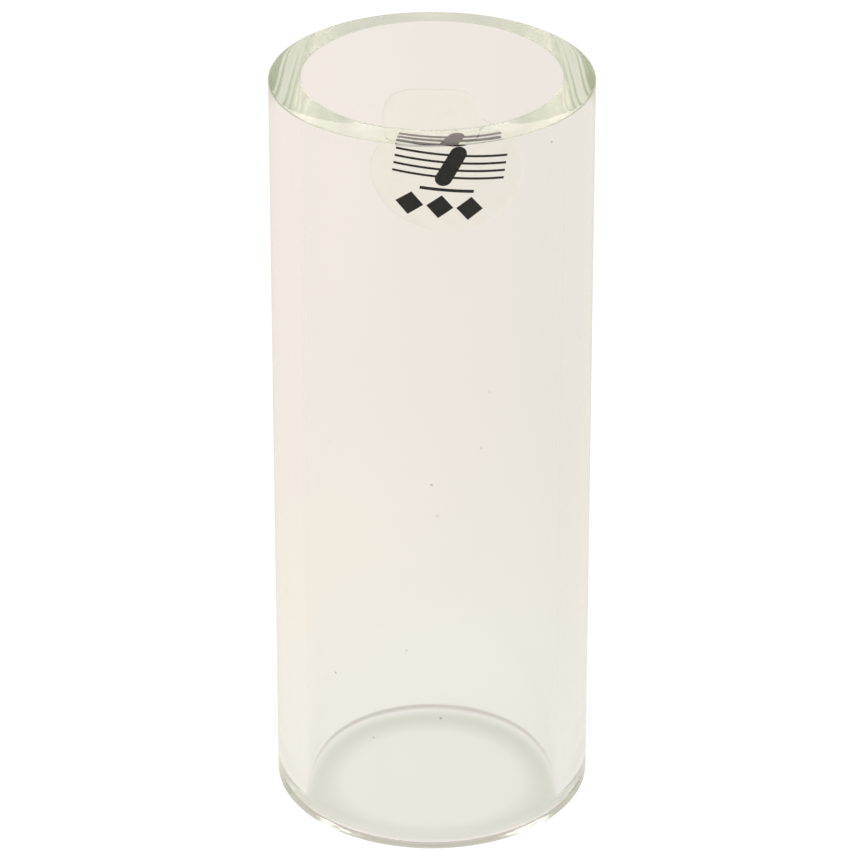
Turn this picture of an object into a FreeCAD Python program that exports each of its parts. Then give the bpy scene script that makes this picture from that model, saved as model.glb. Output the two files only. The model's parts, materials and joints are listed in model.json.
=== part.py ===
import FreeCAD, Part
import Sketcher
import math
import os

# A glass guitar slide, in millimetres: a plain glass tube with polished rims, and the small oval
# clear label stuck inside its mouth. The tube stands on its lower rim. The origin is the centre
# of that rim, +Z runs along the bore and -Y is the front.

doc = FreeCAD.newDocument("guitar_slide")

# Driving dimensions

SIZES = (
    ("tube_length", 62.0, "glass tube, rim to rim"),
    ("tube_diameter", 25.0, "playing surface"),
    ("bore_diameter", 20.0, "where the finger goes"),
    ("mouth_outer_round", 0.1, "upper rim, nearly sharp, radius of its outer edge"),
    ("mouth_inner_round", 0.15, "upper rim, radius of its inner edge"),
    ("base_outer_round", 0.9, "lower rim, well melted, radius of its outer edge"),
    ("base_inner_round", 1.2, "lower rim, radius of its inner edge"),
    ("label_width", 11.3, "oval label, measured along the film"),
    ("label_tall", 9.2, "oval label, without its tab"),
    ("label_height", 58.5, "centre of the oval above the base"),
    ("label_azimuth", 6.9, "degrees from the front towards +X"),
    ("label_tilt", -8.0, "degrees, the label was stuck on slightly turned"),
    ("tab_width", 7.6, "oval tab on top of the label, measured along the film"),
    ("tab_tall", 7.2, "tab"),
    ("tab_shift", -1.6, "middle of the tab to the side of the middle of the label"),
    ("tab_rise", 2.65, "middle of the tab above the middle of the label"),
    ("film_thickness", 0.06, "clear film"),
    ("glue_thickness", 0.05, "adhesive between film and glass"),
    ("ink_thickness", 0.02, "print on the glass side of the film, under the adhesive"),
    ("flap_start", 61.2, "height where the film leaves the glass"),
    ("flap_curl", 8.0, "radius to which the free top of the label curls inwards"),
    ("emblem_rise", 0.8, "middle of the emblem above the middle of the label"),
    ("string_length", 7.8, "emblem: printed lines for the strings"),
    ("string_width", 0.18, "emblem"),
    ("string_pitch", 0.6, "emblem"),
    ("bar_length", 2.2, "emblem: bar across the strings, between its end centres"),
    ("bar_width", 1.2, "emblem"),
    ("bar_slant", 70.0, "emblem: degrees between bar and strings"),
    ("rule_length", 3.8, "printed rule over the size marks"),
    ("rule_width", 0.25, "printed rule"),
    ("rule_rise", -1.15, "printed rule above the middle of the label"),
    ("mark_radius", 0.95, "size mark, centre to corner"),
    ("mark_pitch", 2.1, "between size marks"),
    ("mark_shift", -0.3, "row of size marks to the side of the middle of the label"),
    ("mark_rise", -2.55, "row of size marks above the middle of the label"),
)
STRING_COUNT = 4
MARK_COUNT = 3
SHEET_MARGIN = 1.0     # how far the sheets run past the label's outline before it is cut
SHEET_SPAN = 90.0      # degrees of the bore that a sheet covers before it is cut
CURL_SPAN = 32.0       # degrees of curl, past the top of the label
CUTTER_REACH = "sizes.tube_diameter / 2"

sheet = doc.addObject("Spreadsheet::Sheet", "sizes")
for row, (alias, value, note) in enumerate(SIZES, start=1):
    sheet.set(f"A{row}", alias)
    sheet.set(f"B{row}", str(value))
    sheet.set(f"C{row}", note)
    sheet.setAlias(f"B{row}", alias)
doc.recompute()

BORE_RADIUS = "sizes.bore_diameter / 2"
FILM_OUTER = f"{BORE_RADIUS} - sizes.glue_thickness"
FILM_INNER = f"{FILM_OUTER} - sizes.film_thickness"
INK_OUTER = f"{FILM_OUTER} + sizes.ink_thickness"


# Helpers

def origin_plane(body, role):
    """One of a body's own origin planes."""
    return next(plane for plane in body.Origin.OriginFeatures if plane.Role == role)


def new_sketch(body, name, role):
    """An empty sketch on one of the body's origin planes."""
    sketch = body.newObject("Sketcher::SketchObject", name)
    sketch.AttachmentSupport = (origin_plane(body, role), [""])
    sketch.MapMode = "FlatFace"
    return sketch


def drive(sketch, name, expression, *constraint):
    """Add a named dimension to a sketch and bind it to the sheet."""
    index = sketch.addConstraint(Sketcher.Constraint(*constraint))
    sketch.renameConstraint(index, name)
    sketch.setExpression(f"Constraints.{name}", expression)


def rim_edge(feature, radius, height):
    """Name of a feature's circular edge of one radius at one height."""
    return next(
        f"Edge{number}"
        for number, edge in enumerate(feature.Shape.Edges, start=1)
        if isinstance(edge.Curve, Part.Circle) and abs(edge.Curve.Radius - radius) < 1e-6
        and abs(edge.Curve.Center.z - height) < 1e-6
    )


def boolean(kind, name, base, tool):
    """Part::Cut, Part::Fuse or Part::Common of two objects."""
    feature = doc.addObject(kind, name)
    feature.Base = base
    feature.Tool = tool
    return feature


def fuse_all(name, shapes):
    """One object from several."""
    feature = doc.addObject("Part::MultiFuse", name)
    feature.Shapes = shapes
    return feature


# A stencil's own axis, Z, is turned to point out through the glass
POINT_OUT = "placement(vector(0; 0; 0); rotation(vector(0; 1; 0); 90))"

# The label's own frame: X points out through the glass, Y to the right as seen from the front,
# Z up. Its sheets turn with it about the bore, and its outline and its print are also tilted.
TURN_TO_FRONT = (
    "placement(vector(0; 0; 0); rotation(vector(0; 0; 1); sizes.label_azimuth - 90))"
)
TILT_ON_LABEL = (
    f"{TURN_TO_FRONT} * placement(vector(0; 0; sizes.label_height);"
    " rotation(vector(1; 0; 0); sizes.label_tilt))"
)


def on_label(across, rise, turn="0"):
    """Placement of a stencil about the middle of the label, turned anticlockwise."""
    return f"placement(vector(0; {across}; {rise}); rotation(vector(1; 0; 0); {turn}))"


# Glass tube: cut from drawn tube, its rims rounded in the flame, the lower one more than the upper

tube = doc.addObject("PartDesign::Body", "glass_tube")
tube.Label = "glass_tube"
ring = new_sketch(tube, "tube_section", "XY_Plane")
for alias in ("tube_diameter", "bore_diameter"):
    diameter = sheet.get(alias)
    circle = ring.addGeometry(Part.Circle(FreeCAD.Vector(), FreeCAD.Vector(0, 0, 1), diameter / 2))
    ring.addConstraint(Sketcher.Constraint("Coincident", circle, 3, -1, 1))
    drive(ring, alias, f"sizes.{alias}", "Diameter", circle, diameter)
wall = tube.newObject("PartDesign::Pad", "tube_wall")
wall.Profile = ring
wall.setExpression("Length", "sizes.tube_length")
doc.recompute()

rounded = wall
for alias, diameter, height in (
    ("mouth_outer_round", sheet.tube_diameter, sheet.tube_length),
    ("mouth_inner_round", sheet.bore_diameter, sheet.tube_length),
    ("base_outer_round", sheet.tube_diameter, 0),
    ("base_inner_round", sheet.bore_diameter, 0),
):
    rim = tube.newObject("PartDesign::Fillet", alias)
    rim.Base = (rounded, [rim_edge(rounded, diameter / 2, height)])
    rim.setExpression("Radius", f"sizes.{alias}")
    doc.recompute()
    rounded = rim


# Label: film and adhesive are two thin sheets that follow the bore wall and then curl inwards,
# because the label was placed too high and its top stands free above the rim

def curled_sheet(name, inner_face, outer_face):
    """A sheet between two radii, larger than the label, turned to the label's place."""
    body = doc.addObject("PartDesign::Body", name)
    profile = new_sketch(body, f"{name}_profile", "XZ_Plane")
    outer = sheet.bore_diameter / 2
    inner = outer - sheet.glue_thickness - sheet.film_thickness
    low = sheet.label_height - sheet.label_tall / 2 - SHEET_MARGIN
    bend = sheet.flap_start
    curl_centre = FreeCAD.Vector(outer - sheet.flap_curl, bend, 0)
    span = math.radians(CURL_SPAN)

    def line(*ends):
        start, end = (FreeCAD.Vector(x, z, 0) for x, z in ends)
        return profile.addGeometry(Part.LineSegment(start, end))

    def curl(face):
        circle = Part.Circle(curl_centre, FreeCAD.Vector(0, 0, 1), face - curl_centre.x)
        return profile.addGeometry(Part.ArcOfCircle(circle, 0, span))

    def curl_end(face):
        reach = face - curl_centre.x
        return curl_centre.x + reach * math.cos(span), bend + reach * math.sin(span)

    foot = line((inner, low), (outer, low))
    outer_line = line((outer, low), (outer, bend))
    outer_arc = curl(outer)
    tip = line(curl_end(outer), curl_end(inner))
    inner_arc = curl(inner)
    inner_line = line((inner, bend), (inner, low))

    # A piece's point 1 is its start, 2 its end and 3 an arc's centre; -1, 1 is the origin
    for joint in (
        (foot, 2, outer_line, 1), (outer_line, 2, outer_arc, 1), (outer_arc, 2, tip, 1),
        (tip, 2, inner_arc, 2), (inner_arc, 1, inner_line, 1), (inner_line, 2, foot, 1),
        (outer_arc, 3, inner_arc, 3),
    ):
        profile.addConstraint(Sketcher.Constraint("Coincident", *joint))
    profile.addConstraint(Sketcher.Constraint("Horizontal", foot))
    profile.addConstraint(Sketcher.Constraint("Vertical", outer_line))
    profile.addConstraint(Sketcher.Constraint("Vertical", inner_line))
    profile.addConstraint(Sketcher.Constraint("Horizontal", outer_line, 2, outer_arc, 3))
    profile.addConstraint(Sketcher.Constraint("Horizontal", inner_line, 1, inner_arc, 3))
    profile.addConstraint(Sketcher.Constraint("PointOnObject", outer_arc, 3, tip))
    drive(profile, "inner_face", inner_face, "DistanceX", -1, 1, foot, 1, inner)
    drive(profile, "outer_face", outer_face, "DistanceX", -1, 1, foot, 2, outer)
    drive(profile, "low_edge", f"sizes.label_height - sizes.label_tall / 2 - {SHEET_MARGIN}",
          "DistanceY", -1, 1, foot, 1, low)
    drive(profile, "bend", "sizes.flap_start", "DistanceY", -1, 1, outer_arc, 3, bend)
    drive(profile, "curl", f"{BORE_RADIUS} - sizes.flap_curl",
          "DistanceX", -1, 1, outer_arc, 3, curl_centre.x)
    drive(profile, "curl_end", f"{curl_end(outer)[1] - bend}",
          "DistanceY", outer_arc, 1, outer_arc, 2, curl_end(outer)[1] - bend)

    turned = body.newObject("PartDesign::Revolution", f"{name}_turned")
    turned.Profile = profile
    turned.ReferenceAxis = (profile, ["V_Axis"])
    turned.Angle = SHEET_SPAN
    turned.Midplane = True
    body.setExpression("Placement", TURN_TO_FRONT)
    return body


def oval_die(name, width, tall, centre):
    """An upright oval cutter whose width is measured along the bore wall."""
    outline = doc.addObject("Part::Ellipse", f"{name}_outline")
    outline.setExpression(
        "MajorRadius", f"{BORE_RADIUS} * sin(1 rad * {width} / sizes.bore_diameter)")
    outline.setExpression("MinorRadius", f"{tall} / 2")
    outline.setExpression(
        "Placement", f"{TILT_ON_LABEL} * {centre} * {POINT_OUT}"
        " * placement(vector(0; 0; 0); rotation(vector(0; 0; 1); 90))")
    cutter = doc.addObject("Part::Extrusion", name)
    cutter.Base = outline
    cutter.DirMode = "Normal"
    cutter.Solid = True
    cutter.Symmetric = True
    cutter.setExpression("LengthFwd", "sizes.tube_diameter")
    return cutter


die = fuse_all("label_die", [
    oval_die("oval_die", "sizes.label_width", "sizes.label_tall", on_label("0", "0")),
    oval_die("tab_die", "sizes.tab_width", "sizes.tab_tall",
             on_label("sizes.tab_shift", "sizes.tab_rise")),
])
film_sheet = curled_sheet("film_sheet", FILM_INNER, FILM_OUTER)
film = boolean("Part::Common", "label_film", film_sheet, die)
glue_sheet = curled_sheet("glue_sheet", FILM_OUTER, BORE_RADIUS)
glue_disc = boolean("Part::Common", "glue_disc", glue_sheet, die)


# Print: one emblem, a bar across four strings, and a rule with three diamonds for the size.
# Every mark is cut out of one ink layer by a stencil that stands out from the bore's axis.

def block(name, length, width, centre):
    """A rectangular stencil with its middle at a placement on the label."""
    box = doc.addObject("Part::Box", name)
    box.setExpression("Length", CUTTER_REACH)
    box.setExpression("Width", length)
    box.setExpression("Height", width)
    box.setExpression(
        "Placement", f"{centre} * placement(vector(0; -({length}) / 2; -({width}) / 2);"
        " rotation(vector(1; 0; 0); 0))")
    return box


def round_end(name, width, centre):
    """A round stencil with its middle at a placement on the label."""
    peg = doc.addObject("Part::Cylinder", name)
    peg.setExpression("Radius", f"{width} / 2")
    peg.setExpression("Height", CUTTER_REACH)
    peg.setExpression("Placement", f"{centre} * {POINT_OUT}")
    return peg


def diamond(name, radius, centre):
    """A square stencil that stands on a corner, with its middle at a placement on the label."""
    prism = doc.addObject("Part::Prism", name)
    prism.Polygon = 4
    prism.setExpression("Circumradius", radius)
    prism.setExpression("Height", CUTTER_REACH)
    prism.setExpression("Placement", f"{centre} * {POINT_OUT}")
    return prism


def stencil(name, shapes):
    """Stencils joined and brought to the label."""
    joined = fuse_all(name, shapes)
    joined.setExpression("Placement", TILT_ON_LABEL)
    return joined


emblem_shapes = []
for number in range(STRING_COUNT):
    offset = number - (STRING_COUNT - 1) / 2
    rise = f"sizes.emblem_rise + {offset} * sizes.string_pitch"
    emblem_shapes.append(
        block(f"string_{number + 1}", "sizes.string_length", "sizes.string_width",
              on_label("0", rise)))
bar_centre = on_label("0", "sizes.emblem_rise", "sizes.bar_slant")
emblem_shapes.append(block("bar_middle", "sizes.bar_length", "sizes.bar_width", bar_centre))
for end, side in (("low", -1), ("high", 1)):
    along_bar = on_label(f"{side} * sizes.bar_length / 2", "0")
    emblem_shapes.append(
        round_end(f"bar_{end}_end", "sizes.bar_width", f"{bar_centre} * {along_bar}"))
emblem_stencil = stencil("emblem_stencil", emblem_shapes)

mark_shapes = [
    block("rule", "sizes.rule_length", "sizes.rule_width", on_label("0", "sizes.rule_rise"))]
for number in range(MARK_COUNT):
    offset = number - (MARK_COUNT - 1) / 2
    across = f"sizes.mark_shift + {offset} * sizes.mark_pitch"
    mark_shapes.append(
        diamond(f"mark_{number + 1}", "sizes.mark_radius", on_label(across, "sizes.mark_rise")))
mark_stencil = stencil("mark_stencil", mark_shapes)

ink_faces = []
for name, radius in (("ink_back", FILM_OUTER), ("ink_front", INK_OUTER)):
    face = doc.addObject("Part::Cylinder", name)
    face.setExpression("Radius", radius)
    face.setExpression("Height", "sizes.flap_start")
    ink_faces.append(face)
ink_layer = boolean("Part::Cut", "ink_layer", ink_faces[1], ink_faces[0])
emblem = boolean("Part::Common", "print_emblem", ink_layer, emblem_stencil)
marks = boolean("Part::Common", "print_size_marks", ink_layer, mark_stencil)

# The adhesive flows round the print, so the print is cut out of it
print_stencil = fuse_all("print_stencil", [emblem_stencil, mark_stencil])
glue_recess = boolean("Part::Common", "glue_recess", ink_layer, print_stencil)
glue = boolean("Part::Cut", "label_adhesive", glue_disc, glue_recess)


# Check and write

SUB_PARTS = (tube, film, glue, emblem, marks)
doc.recompute()
for item in doc.Objects:
    if "Invalid" in item.State or "Error" in item.State:
        raise RuntimeError(f"{item.Label} failed: {item.State}")
os.makedirs("parts", exist_ok=True)
for item in SUB_PARTS:
    item.Label = item.Name
    if item.Shape.isNull() or not item.Shape.isValid():
        raise RuntimeError(f"{item.Label} has no valid shape")
    item.Shape.exportStep(f"parts/{item.Label}.step")
    print(f"{item.Label}: {len(item.Shape.Solids)} solid(s), {item.Shape.Volume:.3f} mm3")
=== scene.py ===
import json
import math

import bmesh
import bpy
from mathutils import Matrix, Vector, noise


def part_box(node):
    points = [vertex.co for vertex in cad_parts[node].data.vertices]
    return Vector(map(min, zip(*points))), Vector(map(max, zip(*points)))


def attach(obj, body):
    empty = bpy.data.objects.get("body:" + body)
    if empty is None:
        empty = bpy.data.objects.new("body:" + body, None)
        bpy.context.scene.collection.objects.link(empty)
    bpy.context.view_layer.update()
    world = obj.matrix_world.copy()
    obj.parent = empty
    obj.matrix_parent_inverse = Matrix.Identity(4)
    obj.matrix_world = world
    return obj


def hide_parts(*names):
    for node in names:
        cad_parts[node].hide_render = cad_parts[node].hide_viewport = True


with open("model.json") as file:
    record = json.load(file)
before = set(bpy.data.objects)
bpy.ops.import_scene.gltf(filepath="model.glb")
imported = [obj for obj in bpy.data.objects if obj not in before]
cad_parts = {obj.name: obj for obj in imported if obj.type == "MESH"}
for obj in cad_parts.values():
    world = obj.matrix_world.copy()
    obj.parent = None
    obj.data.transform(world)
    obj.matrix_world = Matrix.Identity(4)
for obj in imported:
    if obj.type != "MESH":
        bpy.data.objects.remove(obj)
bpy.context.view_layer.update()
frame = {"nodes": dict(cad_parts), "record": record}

# A glass guitar slide standing on a pale floor, in metres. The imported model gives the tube's
# sizes and the print. This script gives the glass, the label's film and adhesive, and the light.

MM = 0.001
BODY = "root"


# Sizes from the frame

def mount_span(name):
    """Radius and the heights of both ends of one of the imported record's round mounts."""
    mount = next(item for item in frame["record"]["mounts"] if item["name"] == name)
    radius, length = (mount["dims"][key] * MM for key in ("r_mm", "length_mm"))
    middle = mount["pos_m"][2]
    return radius, middle - length / 2, middle + length / 2


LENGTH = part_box("glass_tube")[1].z
OUTER, OUTER_LOW, OUTER_HIGH = mount_span("playing_surface")
BORE, BORE_LOW, BORE_HIGH = mount_span("finger_bore")
TOP_OUTER, TOP_INNER = LENGTH - OUTER_HIGH, LENGTH - BORE_HIGH     # rounds at the mouth

LABEL_TURN = math.radians(6.9)        # from the front towards +X
LABEL_TILT = math.radians(-8.0)
LABEL_HEIGHT = 58.5 * MM
OVAL_POWER = 2.0
TAB_POWER = 3.4                       # an oval that is nearly a rounded rectangle
LABEL_PARTS = (                       # middle, half width along the film, half height, power, turn
    (0.0, 0.0, 5.65 * MM, 4.6 * MM, OVAL_POWER, 0.0),
    (-1.5 * MM, 2.65 * MM, 3.8 * MM, 3.5 * MM, TAB_POWER, -LABEL_TILT),
)
LABEL_HUB = (-0.6 * MM, 1.2 * MM)     # a point inside both parts
FLAP_START = 61.2 * MM                # above this the film has no glass behind it
FLAP_CURL = 8.0 * MM
GLUE = 0.05 * MM
GLUE_MARGIN = 0.02 * MM               # the adhesive stops this far inside the film's edge
FILM = 0.06 * MM
CONTACT = 0.003 * MM                  # layers that are wetted together overlap by this


# Mesh helpers

def new_piece(name, bm, material, replaced):
    """A smooth-shaded piece made from a bmesh, in place of CAD nodes."""
    bmesh.ops.recalc_face_normals(bm, faces=bm.faces)
    mesh = bpy.data.meshes.new(name)
    bm.to_mesh(mesh)
    bm.free()
    mesh.polygons.foreach_set("use_smooth", [True] * len(mesh.polygons))
    piece = bpy.data.objects.new(name, mesh)
    bpy.context.scene.collection.objects.link(piece)
    mesh.materials.append(material)
    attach(piece, BODY)
    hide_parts(*replaced)


def quarter(centre_r, centre_z, radius, start, steps):
    """Points of a quarter round in the tube's section, from one angle to the next."""
    turns = [start + math.pi / 2 * step / steps for step in range(steps + 1)]
    return [(centre_r + radius * math.cos(turn), centre_z + radius * math.sin(turn)) for turn in turns]


def straight(r, z_from, z_to, steps):
    """Points between the ends of a straight wall, without the ends themselves."""
    return [(r, z_from + (z_to - z_from) * step / steps) for step in range(1, steps)]


def rim_face(r_from, r_to, z, steps):
    """Points between the ends of a flat rim face, without the ends themselves."""
    return [(r_from + (r_to - r_from) * step / steps, z) for step in range(1, steps)]


# Shapes

TUBE_SIDES = 768
RIM_STEPS = 14
WALL_STEPS = 24
FACE_STEPS = 12
WALL_WAVE = 0.005 * MM      # how far the drawn surfaces wander
RIM_WAVE = 0.03 * MM        # how far the mouth's rim wanders
RIM_FALL = 0.24 * MM        # how far the mouth's rim drops from its inner edge to its outer edge
RIM_TURNOVER = 0.22         # share of that fall that comes near the outer edge
RIM_DEPTH = 2.5 * MM        # how far below the mouth the wander and the fall fade out


def wave(angle, turns, layer):
    """A smooth value from -1 to 1 that runs round the tube and closes on itself."""
    return noise.noise(Vector((turns * math.cos(angle), turns * math.sin(angle), layer)))


def glass_tube():
    """Drawn tube: walls that wander round the tube but hardly along it, and a sloping mouth."""
    section = quarter(OUTER - OUTER_LOW, OUTER_LOW, OUTER_LOW, -math.pi / 2, RIM_STEPS)
    section += straight(OUTER, OUTER_LOW, OUTER_HIGH, WALL_STEPS)
    section += quarter(OUTER - TOP_OUTER, OUTER_HIGH, TOP_OUTER, 0, RIM_STEPS)
    section += rim_face(OUTER - TOP_OUTER, BORE + TOP_INNER, LENGTH, FACE_STEPS)
    section += quarter(BORE + TOP_INNER, BORE_HIGH, TOP_INNER, math.pi / 2, RIM_STEPS)
    section += straight(BORE, BORE_HIGH, BORE_LOW, WALL_STEPS)
    section += quarter(BORE + BORE_LOW, BORE_LOW, BORE_LOW, math.pi, RIM_STEPS)
    section += rim_face(BORE + BORE_LOW, OUTER - OUTER_LOW, 0, FACE_STEPS)
    count = len(section)

    bm = bmesh.new()
    rings = []
    for side in range(TUBE_SIDES):
        angle = 2 * math.pi * side / TUBE_SIDES
        rim_sag = RIM_WAVE * 0.5 * (1 + wave(angle, turns=1.5, layer=11.0))
        ring = []
        for r, z in section:
            part = (r - BORE) / (OUTER - BORE)
            up = z / LENGTH
            outside = 0.5 * (wave(angle, turns=2.0, layer=0.2) + wave(angle, turns=6.0, layer=up)) - 1
            inside = wave(angle, turns=2.0, layer=4.0) + 0.6 * wave(angle, turns=5.0, layer=6 + 0.8 * up)
            r_moved = r + WALL_WAVE * (part * outside + (1 - part) * inside)
            sag = rim_sag + RIM_FALL * ((1 - RIM_TURNOVER) * part + RIM_TURNOVER * part ** 5)
            z_moved = z - sag * max(0.0, 1 - (LENGTH - z) / RIM_DEPTH)
            ring.append(bm.verts.new((r_moved * math.cos(angle), r_moved * math.sin(angle), z_moved)))
        rings.append(ring)
    for side in range(TUBE_SIDES):
        here, there = rings[side], rings[(side + 1) % TUBE_SIDES]
        for point in range(count):
            after = (point + 1) % count
            bm.faces.new((here[point], there[point], there[after], here[after]))
    return bm


LABEL_SIDES = 144
LABEL_RINGS = 26
LABEL_SPAN = 15 * MM         # longer than any line across the label
HALVINGS = 40
EDGE_TAPER = 0.25 * MM       # the film thins towards its edge over this width
EDGE_SHARE = 0.35            # thickness left at the edge
TO_LABEL = Matrix.Rotation(LABEL_TURN - math.pi / 2, 4, "Z")


def turned(x, z, angle):
    """A flat point turned about the origin, anticlockwise for a positive angle."""
    return x * math.cos(angle) - z * math.sin(angle), x * math.sin(angle) + z * math.cos(angle)


def sheet_point(across, up, depth):
    """A point of the tilted and curled sheet, depth inside the bore wall."""
    across, up = turned(across, up, LABEL_TILT)
    z = LABEL_HEIGHT + up
    r = BORE - depth
    if z > FLAP_START:
        curl_centre = BORE - FLAP_CURL
        reach = FLAP_CURL - depth
        r = curl_centre + math.sqrt(reach ** 2 - (z - FLAP_START) ** 2)
    return TO_LABEL @ Vector((math.sqrt(r ** 2 - across ** 2), across, z))


def on_label(across, up, shrink):
    """Whether a point of the flat sheet lies on the label."""
    for middle_x, middle_z, half_width, half_height, power, turn in LABEL_PARTS:
        wide = BORE * math.sin((half_width - shrink) / BORE)
        tall = half_height - shrink
        x, z = turned(across - middle_x, up - middle_z, -turn)
        if abs(x / wide) ** power + abs(z / tall) ** power < 1:
            return True
    return False


def label_reach(angle, shrink):
    """How far the label's outline is from its hub in one direction, found by halving."""
    near, far = 0.0, LABEL_SPAN
    for _ in range(HALVINGS):
        middle = (near + far) / 2
        across = LABEL_HUB[0] + middle * math.cos(angle)
        up = LABEL_HUB[1] + middle * math.sin(angle)
        if on_label(across, up, shrink):
            near = middle
        else:
            far = middle
    return near


def label_layer(depth_out, depth_in, shrink):
    """One layer of the label between two depths, with finely stepped faces."""
    turns = [2 * math.pi * side / LABEL_SIDES for side in range(LABEL_SIDES)]
    reaches = [label_reach(angle, shrink) for angle in turns]
    bm = bmesh.new()
    faces = []
    for depth in (depth_out, depth_in):
        edge_depth = depth_out + EDGE_SHARE * (depth - depth_out)
        centre = bm.verts.new(sheet_point(*LABEL_HUB, depth))
        rings = []
        for number in range(1, LABEL_RINGS + 1):
            part = 1 - (1 - number / LABEL_RINGS) ** 2
            ring = []
            for angle, reach in zip(turns, reaches):
                taper = max(0.0, 1 - (1 - part) * reach / EDGE_TAPER)
                here = depth + (edge_depth - depth) * taper ** 2
                across = LABEL_HUB[0] + reach * part * math.cos(angle)
                up = LABEL_HUB[1] + reach * part * math.sin(angle)
                ring.append(bm.verts.new(sheet_point(across, up, here)))
            rings.append(ring)
        faces.append((centre, rings))
    for centre, rings in faces:
        for side in range(LABEL_SIDES):
            after = (side + 1) % LABEL_SIDES
            bm.faces.new((centre, rings[0][side], rings[0][after]))
            for inner, outer in zip(rings, rings[1:]):
                bm.faces.new((inner[side], outer[side], outer[after], inner[after]))
    out_edge, in_edge = faces[0][1][-1], faces[1][1][-1]
    for side in range(LABEL_SIDES):
        after = (side + 1) % LABEL_SIDES
        bm.faces.new((out_edge[side], in_edge[side], in_edge[after], out_edge[after]))
    return bm


# Materials

PAPER = (1.0, 0.932, 0.86)
CLEAR = (0.99, 0.99, 0.99)
DUST = (0.5, 0.46, 0.4)
GLASS_DEPTH = (0.54, 0.72, 0.26)    # colours the light that runs along inside the wall
GLASS_DENSITY = 2.9
FILM_CLEAR = (0.996, 0.997, 0.985)
GLUE_CLEAR = (0.998, 0.997, 0.99)
RELIEF = 0.002 * MM          # height of the finest relief
FLOOR_LIGHT = 0.785
SKY_LIGHT = 0.6


def new_material(name):
    """A material and its main shader."""
    material = bpy.data.materials.new(name)
    material.use_nodes = True
    return material, material.node_tree, material.node_tree.nodes["Principled BSDF"]


def noise_values(tree, scale, detail, stretch=(1, 1, 1), distortion=0.0):
    """Noise in the object's own coordinates, scale in patches a metre."""
    place = tree.nodes.new("ShaderNodeTexCoord")
    mapping = tree.nodes.new("ShaderNodeMapping")
    mapping.inputs["Scale"].default_value = stretch
    pattern = tree.nodes.new("ShaderNodeTexNoise")
    pattern.inputs["Scale"].default_value = scale
    pattern.inputs["Detail"].default_value = detail
    pattern.inputs["Distortion"].default_value = distortion
    tree.links.new(place.outputs["Object"], mapping.inputs["Vector"])
    tree.links.new(mapping.outputs["Vector"], pattern.inputs["Vector"])
    return pattern.outputs["Fac"]


def speck_values(tree, scale):
    """How far the surface is from the nearest of many scattered points, in spacings."""
    place = tree.nodes.new("ShaderNodeTexCoord")
    pattern = tree.nodes.new("ShaderNodeTexVoronoi")
    pattern.inputs["Scale"].default_value = scale
    tree.links.new(place.outputs["Object"], pattern.inputs["Vector"])
    return pattern.outputs["Distance"]


def ramp(tree, value, *stops):
    """A colour ramp through (position, grey or colour) stops."""
    node = tree.nodes.new("ShaderNodeValToRGB")
    elements = node.color_ramp.elements
    while len(elements) < len(stops):
        elements.new(0.5)
    for element, (position, shade) in zip(elements, stops):
        element.position = position
        element.color = (*shade, 1) if isinstance(shade, tuple) else (shade, shade, shade, 1)
    tree.links.new(value, node.inputs["Fac"])
    return node.outputs["Color"]


def bump(tree, shader, height, strength, distance):
    """Fine relief on a shader."""
    node = tree.nodes.new("ShaderNodeBump")
    node.inputs["Strength"].default_value = strength
    node.inputs["Distance"].default_value = distance
    tree.links.new(height, node.inputs["Height"])
    tree.links.new(node.outputs["Normal"], shader.inputs["Normal"])


def clear_material(name, tint, ior, gloss):
    """A see-through material without its pattern. The gloss scales its mirror reflection."""
    material, tree, shader = new_material(name)
    shader.inputs["Base Color"].default_value = (*tint, 1)
    shader.inputs["IOR"].default_value = ior
    shader.inputs["Transmission Weight"].default_value = 1.0
    shader.inputs["Specular Tint"].default_value = (gloss, gloss, gloss, 1)
    return material, tree, shader


def tube_glass():
    """Clear glass, faintly green in its thickness, with draw lines, smears and a little dust."""
    material, tree, shader = clear_material("tube_glass", CLEAR, ior=1.5, gloss=0.6)
    smears = noise_values(tree, scale=160, detail=4, stretch=(1, 1, 0.35), distortion=0.8)
    tree.links.new(ramp(tree, smears, (0.35, 0.04), (0.7, 0.065)), shader.inputs["Roughness"])
    specks = speck_values(tree, scale=210)
    dust = ramp(tree, specks, (0.018, DUST), (0.03, CLEAR))
    tree.links.new(dust, shader.inputs["Base Color"])
    draw_lines = noise_values(tree, scale=900, detail=3, stretch=(1, 1, 0.02))
    bump(tree, shader, draw_lines, strength=0.25, distance=RELIEF)
    depth = tree.nodes.new("ShaderNodeVolumeAbsorption")
    depth.inputs["Color"].default_value = (*GLASS_DEPTH, 1)
    depth.inputs["Density"].default_value = GLASS_DENSITY
    tree.links.new(depth.outputs["Volume"], tree.nodes["Material Output"].inputs["Volume"])
    return material


def label_film():
    """Clear film, a little duller than glass and slightly rippled."""
    material, tree, shader = clear_material("label_film", FILM_CLEAR, ior=1.49, gloss=0)
    handled = noise_values(tree, scale=420, detail=3)
    tree.links.new(ramp(tree, handled, (0.3, 0.02), (0.75, 0.07)), shader.inputs["Roughness"])
    ripples = noise_values(tree, scale=700, detail=2)
    bump(tree, shader, ripples, strength=0.2, distance=RELIEF)
    return material


def label_adhesive():
    """Clear adhesive with a few cloudy spots."""
    material, tree, shader = clear_material("label_adhesive", GLUE_CLEAR, ior=1.47, gloss=0)
    cloud = noise_values(tree, scale=900, detail=3)
    clouded = ramp(tree, cloud, (0.3, (0.98, 0.975, 0.96)), (0.5, GLUE_CLEAR))
    tree.links.new(clouded, shader.inputs["Base Color"])
    tree.links.new(ramp(tree, cloud, (0.3, 0.04), (0.6, 0.0)), shader.inputs["Roughness"])
    return material


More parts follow.
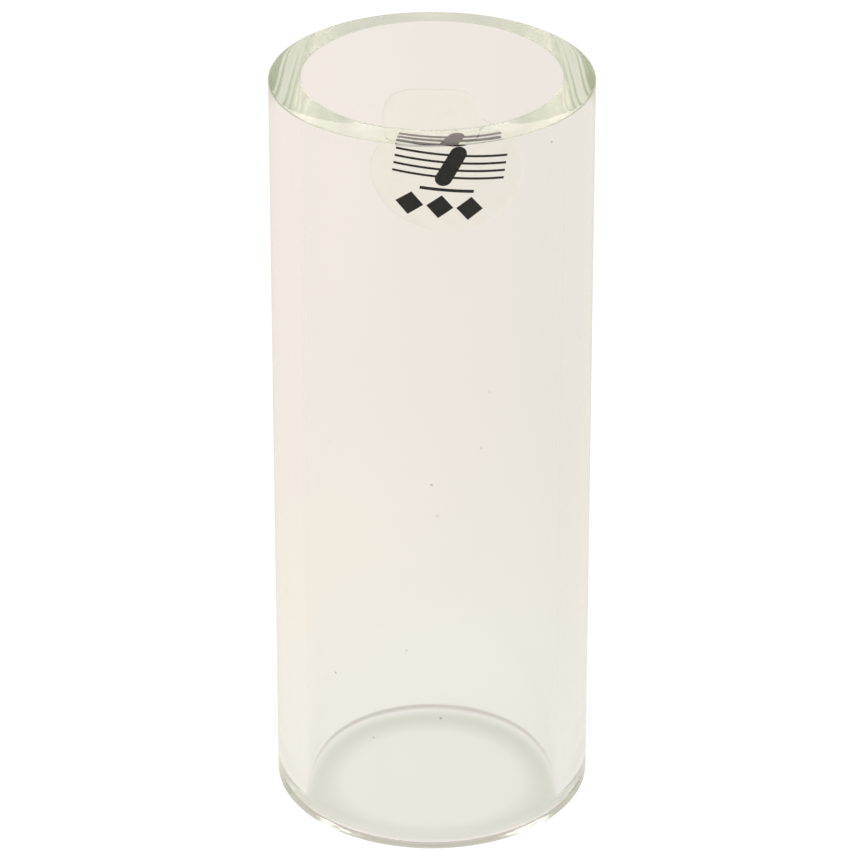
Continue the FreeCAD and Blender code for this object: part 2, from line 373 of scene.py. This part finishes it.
def print_ink():
    """Black printing ink with a slightly uneven cover."""
    material, tree, shader = new_material("print_ink")
    cover = noise_values(tree, scale=2200, detail=3)
    colour = ramp(tree, cover, (0.3, (0.004, 0.0035, 0.003)), (0.75, (0.014, 0.011, 0.009)))
    tree.links.new(colour, shader.inputs["Base Color"])
    shader.inputs["Roughness"].default_value = 0.55
    shader.inputs["Specular IOR Level"].default_value = 0.05
    return material


def mapped(tree, value, start, end, low, high):
    """A value brought smoothly from one range to another."""
    node = tree.nodes.new("ShaderNodeMapRange")
    node.interpolation_type = "SMOOTHSTEP"
    for socket, number in zip(("From Min", "From Max", "To Min", "To Max"),
                              (start, end, low, high)):
        node.inputs[socket].default_value = number
    tree.links.new(value, node.inputs["Value"])
    return node.outputs["Result"]


def combined(tree, operation, first, second):
    """A maths node on two values."""
    node = tree.nodes.new("ShaderNodeMath")
    node.operation = operation
    tree.links.new(first, node.inputs[0])
    tree.links.new(second, node.inputs[1])
    return node.outputs["Value"]


def backdrop(tree, strength, shade=None):
    """Emission that is plain white where the camera looks straight at it, and paper elsewhere."""
    rays = tree.nodes.new("ShaderNodeLightPath")
    choice = tree.nodes.new("ShaderNodeMix")
    choice.data_type = "RGBA"
    paper = [strength * part for part in PAPER]
    choice.inputs["A"].default_value = (*paper, 1)
    if shade:
        shaded = tree.nodes.new("ShaderNodeVectorMath")
        shaded.operation = "MULTIPLY"
        shaded.inputs[0].default_value = paper
        tree.links.new(shade, shaded.inputs[1])
        tree.links.new(shaded.outputs["Vector"], choice.inputs["A"])
    choice.inputs["B"].default_value = (1, 1, 1, 1)
    tree.links.new(rays.outputs["Is Camera Ray"], choice.inputs["Factor"])
    return choice.outputs["Result"]


def multiplied(tree, first, second):
    """Two colours multiplied."""
    node = tree.nodes.new("ShaderNodeVectorMath")
    node.operation = "MULTIPLY"
    tree.links.new(first, node.inputs[0])
    tree.links.new(second, node.inputs[1])
    return node.outputs["Vector"]


RING_INSIDE = 6.8 * MM       # the tube's painted contact shadow on the paper, by distance from the middle
RING_DARKEST = 9.5 * MM
RING_OUTSIDE = 10.8 * MM
RING_LEVEL = 0.8
RING_MIDDLE = 0.97           # level inside the ring
FRONT_DARK = -125 * MM       # painted shade: the paper darkens towards -Y between these places
FRONT_LIGHT = -90 * MM
FRONT_LEVEL = 0.75
SIDE_REACH = 40 * MM         # painted light: it falls from -X to +X over this distance each way
NEAR_PAPER = 12 * MM         # the paper turns warmer between these distances
FAR_PAPER = 75 * MM


def paper_shade(tree):
    """The paper's painted light: a painted contact shadow, a painted darker front, painted light falling
    off from -X to +X, and warmth.
    """
    place = tree.nodes.new("ShaderNodeTexCoord").outputs["Object"]
    parts = tree.nodes.new("ShaderNodeSeparateXYZ")
    tree.links.new(place, parts.inputs["Vector"])
    reach = tree.nodes.new("ShaderNodeVectorMath")
    reach.operation = "LENGTH"
    tree.links.new(place, reach.inputs[0])
    away = reach.outputs["Value"]
    # Painted contact shadow: a darker ring on the paper round the tube's foot, a little dark inside it
    # too.
    inner_side = mapped(tree, away, RING_INSIDE, RING_DARKEST, RING_MIDDLE, RING_LEVEL)
    outer_side = mapped(tree, away, RING_DARKEST, RING_OUTSIDE, RING_LEVEL, 1.0)
    ring = combined(tree, "MAXIMUM", inner_side, outer_side)
    # Painted shade: the paper is darker towards the front.
    front = mapped(tree, parts.outputs["Y"], FRONT_DARK, FRONT_LIGHT, FRONT_LEVEL, 1.0)
    level = combined(tree, "MULTIPLY", ring, front)
    # Painted light falloff: the paper is brighter towards -X, and dimmer and greener towards +X.
    side = mapped(tree, parts.outputs["X"], -SIDE_REACH, SIDE_REACH, 0.0, 1.0)
    tint = ramp(tree, side, (0.0, (1.05, 1.05, 1.03)), (1.0, (0.96, 0.985, 0.975)))
    distance = mapped(tree, away, NEAR_PAPER, FAR_PAPER, 0.0, 1.0)
    warmth = ramp(tree, distance, (0.0, (1.005, 1.04, 1.055)), (0.35, (1.0, 1.008, 0.997)),
                  (1.0, (0.975, 0.973, 0.98)))
    # Painted shade colour: the darkened parts of the paper turn slightly green.
    shade = ramp(tree, level, (0.0, 0.0), (RING_LEVEL, (0.785, 0.81, 0.765)), (1.0, 1.0))
    return multiplied(tree, multiplied(tree, tint, warmth), shade)


def floor_paper():
    """Pale warm paper whose light is painted into its glow, with painted shade from paper_shade; the
    lamps barely shade its dim surface.
    """
    material, tree, shader = new_material("floor_paper")
    shader.inputs["Base Color"].default_value = (0.12, 0.12, 0.12, 1)
    shader.inputs["Roughness"].default_value = 0.9
    shader.inputs["Specular IOR Level"].default_value = 0.0
    shader.inputs["Emission Strength"].default_value = 1.0
    glow = backdrop(tree, FLOOR_LIGHT, paper_shade(tree))
    tree.links.new(glow, shader.inputs["Emission Color"])
    return material


# The object

new_piece("glass_tube", glass_tube(), tube_glass(), ["glass_tube"])
film = label_layer(GLUE - CONTACT, GLUE + FILM, 0.0)
new_piece("label_film", film, label_film(), ["label_film"])
adhesive = label_layer(-CONTACT, GLUE, GLUE_MARGIN)
new_piece("label_adhesive", adhesive, label_adhesive(), ["label_adhesive"])
INK = print_ink()
for node in ("print_emblem", "print_size_marks"):
    frame["nodes"][node].data.materials.clear()
    frame["nodes"][node].data.materials.append(INK)


# Floor, light and camera

FLOOR_HALF = 4.0
TOP_COLOUR = (1.0, 0.82, 0.82)
CAMERA_PLACE = (0, -0.3813, 0.2328)
CAMERA_DIP = 0.4864          # how far the camera looks down, in radians
CAMERA_LENS = 228.2          # in mm, as is the sensor's width
SENSOR_WIDTH = 36
LIGHT_BOUNCES = 128          # enough for light that runs along inside the wall


def area_light(name, place, width, height, power, colour=(1, 1, 1)):
    """A soft rectangular light aimed at the middle of the object."""
    lamp = bpy.data.lights.new(name, "AREA")
    lamp.shape = "RECTANGLE"
    lamp.size = width
    lamp.size_y = height
    lamp.energy = power
    lamp.color = colour
    light = bpy.data.objects.new(name, lamp)
    bpy.context.scene.collection.objects.link(light)
    light.location = place
    aim = Vector((0, 0, LENGTH / 2)) - Vector(place)
    light.rotation_euler = aim.to_track_quat("-Z", "Y").to_euler()


floor_mesh = bpy.data.meshes.new("floor")
floor_grid = bmesh.new()
bmesh.ops.create_grid(floor_grid, x_segments=8, y_segments=8, size=FLOOR_HALF)
floor_grid.to_mesh(floor_mesh)
floor_grid.free()
floor = bpy.data.objects.new("floor", floor_mesh)
bpy.context.scene.collection.objects.link(floor)
floor_mesh.materials.append(floor_paper())

world = bpy.data.worlds.new("studio")
world.use_nodes = True
sky = world.node_tree.nodes["Background"]
world.node_tree.links.new(backdrop(world.node_tree, SKY_LIGHT), sky.inputs["Color"])
bpy.context.scene.world = world

area_light("left_softbox", (-0.5, -0.2, 0.5), width=0.4, height=0.4, power=0.5)
area_light("right_softbox", (0.5, -0.1, 0.45), width=0.3, height=0.3, power=0.3)
# This one is mirrored in the front of the mouth's sloping rim.
area_light("top_softbox", (0, 0.34, 0.357), width=0.6, height=0.14, power=0.65, colour=TOP_COLOUR)

camera_data = bpy.data.cameras.new("camera")
camera_data.sensor_width = SENSOR_WIDTH
camera_data.lens = CAMERA_LENS
camera_data.clip_start = 0.01
camera = bpy.data.objects.new("camera", camera_data)
bpy.context.scene.collection.objects.link(camera)
camera.location = CAMERA_PLACE
camera.rotation_euler = (math.pi / 2 - CAMERA_DIP, 0, 0)
scene = bpy.context.scene
scene.camera = camera
scene.view_settings.view_transform = "Standard"
scene.cycles.max_bounces = LIGHT_BOUNCES
scene.cycles.transmission_bounces = LIGHT_BOUNCES
scene.cycles.glossy_bounces = LIGHT_BOUNCES
